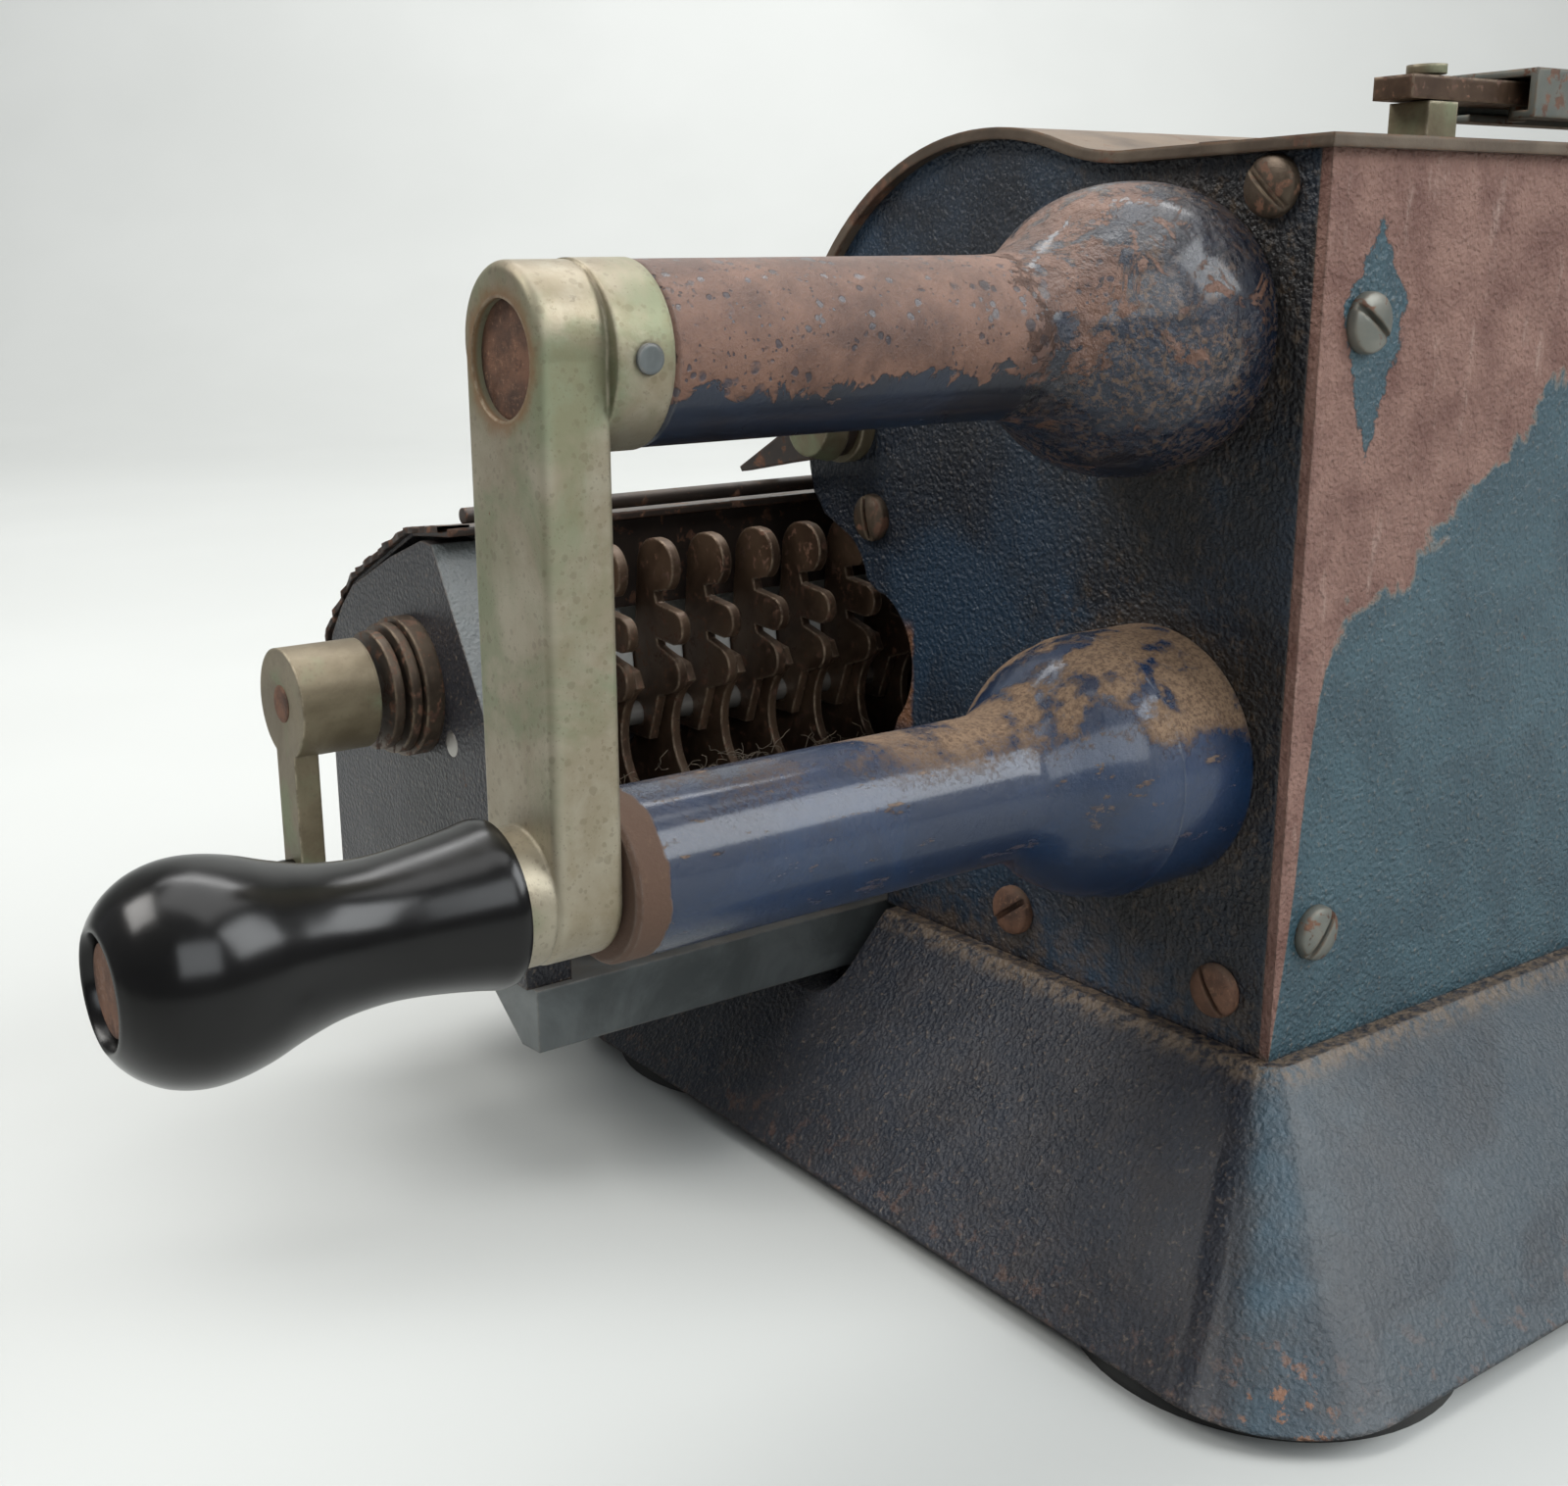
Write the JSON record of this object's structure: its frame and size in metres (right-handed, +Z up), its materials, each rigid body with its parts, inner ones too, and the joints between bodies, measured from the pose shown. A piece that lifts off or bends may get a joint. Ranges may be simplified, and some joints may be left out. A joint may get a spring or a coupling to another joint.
{
  "type": "mechanical calculator",
  "caption": "Old hand-cranked pinwheel calculating machine: box housing on a flared base, side crank with black handle, setting levers and a sliding register carriage.",
  "frame": {"origin": "on the floor, under the middle of the box that holds the whole machine", "axes": "+X towards the crank side, +Y towards the back panel, +Z up"},
  "size_m": [0.371, 0.188, 0.167],
  "materials": {
    "aged_steel": "aged steel, brown film and light rust",
    "base_paint": "slate blue-grey paint, dusty rim, rust spots",
    "black_handle": "glossy black turned handle",
    "carriage_paint": "dark paint, worn to rust along the edges",
    "cast_dial": "white-metal dials",
    "clean_steel": "machined steel, lightly tarnished",
    "cover_metal": "dull brown-grey sheet, browned edge",
    "crinkle_black": "dark blue-black crinkle paint, dusty, worn at the edges",
    "crinkle_teal": "teal-blue crinkle paint with a large peeled brown patch",
    "foot_rubber": "dark dusty rubber",
    "nickel": "tarnished nickel plate wearing through to brass",
    "tube_paint": "glossy navy paint over rust"
  },
  "bodies": {
    "frame": {"base_casting": "base_paint", "rubber_feet": "foot_rubber", "foot_screws": "aged_steel", "right_side_plate": "crinkle_black", "left_side_plate": "crinkle_black", "side_plate_screws": "aged_steel", "tie_rods": "clean_steel", "back_panel": "crinkle_teal", "back_panel_screws": "aged_steel", "panel_lugs": "aged_steel", "top_cover": "cover_metal", "setting_plate": "carriage_paint", "crank_bearing_tube": "tube_paint", "lock_tube": "tube_paint", "drum_bushes": "nickel", "carriage_guide": "clean_steel", "link_blocks": "aged_steel", "pointer_boss": "aged_steel"},
    "crank": {"crank_shaft": "clean_steel", "crank_arm": "nickel", "crank_cross_pin": "clean_steel", "handle_spindle": "aged_steel", "crank_gear": "clean_steel"},
    "grip": {"crank_handle": "black_handle"},
    "plunger": {"rest_plunger": "aged_steel"},
    "drum": {"drum_shaft": "clean_steel", "drum_gear": "clean_steel", "pinwheels": "clean_steel"},
    "carriage": {"carriage_rail": "aged_steel", "carriage_cheek_right": "carriage_paint", "carriage_cheek_left": "carriage_paint", "carriage_cover": "carriage_paint", "register_plate": "carriage_paint", "lid_strip": "carriage_paint", "carriage_hinge_rod": "aged_steel", "tens_shaft": "clean_steel", "comb_plates": "aged_steel", "shaft_collar": "nickel", "spring_washers": "aged_steel"},
    "tens": {"tens_carry_levers": "aged_steel"},
    "result": {"result_shaft": "clean_steel", "result_dials": "cast_dial", "clearing_crank": "nickel", "clearing_knob": "black_handle"},
    "counter": {"counter_shaft": "clean_steel", "counter_dials": "cast_dial", "counter_clearing_crank": "nickel"},
    "link_right": {"link_lever_right": "aged_steel"},
    "link_left": {"link_lever_left": "aged_steel"},
    "link_channel": {"link_bar": "aged_steel"},
    "pointer": {"pointer_pawl": "aged_steel"},
    "lever_1": {"setting_lever_1": "clean_steel"},
    "lever_2": {"setting_lever_2": "clean_steel"},
    "lever_3": {"setting_lever_3": "clean_steel"},
    "lever_4": {"setting_lever_4": "clean_steel"},
    "lever_5": {"setting_lever_5": "clean_steel"},
    "lever_6": {"setting_lever_6": "clean_steel"},
    "lever_7": {"setting_lever_7": "clean_steel"},
    "lever_8": {"setting_lever_8": "clean_steel"},
    "lever_9": {"setting_lever_9": "clean_steel"}
  },
  "joints": [
    {"name": "crank_turn", "type": "hinge", "parent": "frame", "child": "crank", "pos_m": [0.1271, 0.03735, 0.1332], "axis": [1, 0, 0], "continuous": true},
    {"name": "grip_spin", "type": "hinge", "parent": "crank", "child": "grip", "pos_m": [0.1621, 0.03735, 0.0747], "axis": [1, 0, 0], "continuous": true},
    {"name": "plunger_slide", "type": "slide", "parent": "frame", "child": "plunger", "axis": [1, 0, 0], "range_m": [0, 0.003]},
    {"name": "drum_turn", "type": "hinge", "parent": "frame", "child": "drum", "pos_m": [-0.0529, 0.00245, 0.1136], "axis": [1, 0, 0], "continuous": true},
    {"name": "setting_1", "type": "hinge", "parent": "drum", "child": "lever_1", "pos_m": [-0.0017, 0.00245, 0.1136], "axis": [1, 0, 0], "range_deg": [0, 67.5]},
    {"name": "setting_2", "type": "hinge", "parent": "drum", "child": "lever_2", "pos_m": [-0.0117, 0.00245, 0.1136], "axis": [1, 0, 0], "range_deg": [0, 67.5]},
    {"name": "setting_3", "type": "hinge", "parent": "drum", "child": "lever_3", "pos_m": [-0.0217, 0.00245, 0.1136], "axis": [1, 0, 0], "range_deg": [0, 67.5]},
    {"name": "setting_4", "type": "hinge", "parent": "drum", "child": "lever_4", "pos_m": [-0.0317, 0.00245, 0.1136], "axis": [1, 0, 0], "range_deg": [0, 67.5]},
    {"name": "setting_5", "type": "hinge", "parent": "drum", "child": "lever_5", "pos_m": [-0.0417, 0.00245, 0.1136], "axis": [1, 0, 0], "range_deg": [0, 67.5]},
    {"name": "setting_6", "type": "hinge", "parent": "drum", "child": "lever_6", "pos_m": [-0.0517, 0.00245, 0.1136], "axis": [1, 0, 0], "range_deg": [0, 67.5]},
    {"name": "setting_7", "type": "hinge", "parent": "drum", "child": "lever_7", "pos_m": [-0.0617, 0.00245, 0.1136], "axis": [1, 0, 0], "range_deg": [0, 67.5]},
    {"name": "setting_8", "type": "hinge", "parent": "drum", "child": "lever_8", "pos_m": [-0.0717, 0.00245, 0.1136], "axis": [1, 0, 0], "range_deg": [0, 67.5]},
    {"name": "setting_9", "type": "hinge", "parent": "drum", "child": "lever_9", "pos_m": [-0.0817, 0.00245, 0.1136], "axis": [1, 0, 0], "range_deg": [0, 67.5]},
    {"name": "carriage_shift", "type": "slide", "parent": "frame", "child": "carriage", "axis": [1, 0, 0], "range_m": [-0.07, 0.01]},
    {"name": "tens_rock", "type": "hinge", "parent": "carriage", "child": "tens", "pos_m": [0.0371, -0.04465, 0.0696], "axis": [1, 0, 0], "range_deg": [0, 4]},
    {"name": "result_clear", "type": "hinge", "parent": "carriage", "child": "result", "pos_m": [0.0371, -0.05765, 0.0771], "axis": [1, 0, 0], "continuous": true},
    {"name": "counter_clear", "type": "hinge", "parent": "carriage", "child": "counter", "pos_m": [-0.0629, -0.05765, 0.0771], "axis": [1, 0, 0], "continuous": true},
    {"name": "link_swing", "type": "hinge", "parent": "frame", "child": "link_right", "pos_m": [0.0041, 0.05035, 0.1636], "axis": [0, 0, 1], "range_deg": [-10, 10]},
    {"name": "link_swing_left", "type": "hinge", "parent": "frame", "child": "link_left", "pos_m": [-0.1199, 0.05035, 0.1636], "axis": [0, 0, 1], "range_deg": [-10, 10]},
    {"name": "link_shift", "type": "slide", "parent": "frame", "child": "link_channel", "axis": [0, 1, 0], "range_m": [-0.0039, 0.0039]},
    {"name": "pointer_lift", "type": "hinge", "parent": "frame", "child": "pointer", "pos_m": [0.041, -0.03035, 0.1171], "axis": [1, 0, 0], "range_deg": [-25, 0]}
  ],
  "couplings": [
    {"joint": "drum_turn", "follows": "crank_turn", "ratio": -1},
    {"joint": "link_swing_left", "follows": "link_swing", "ratio": -1},
    {"joint": "link_shift", "follows": "link_swing", "m_per_rad": -0.022}
  ]
}
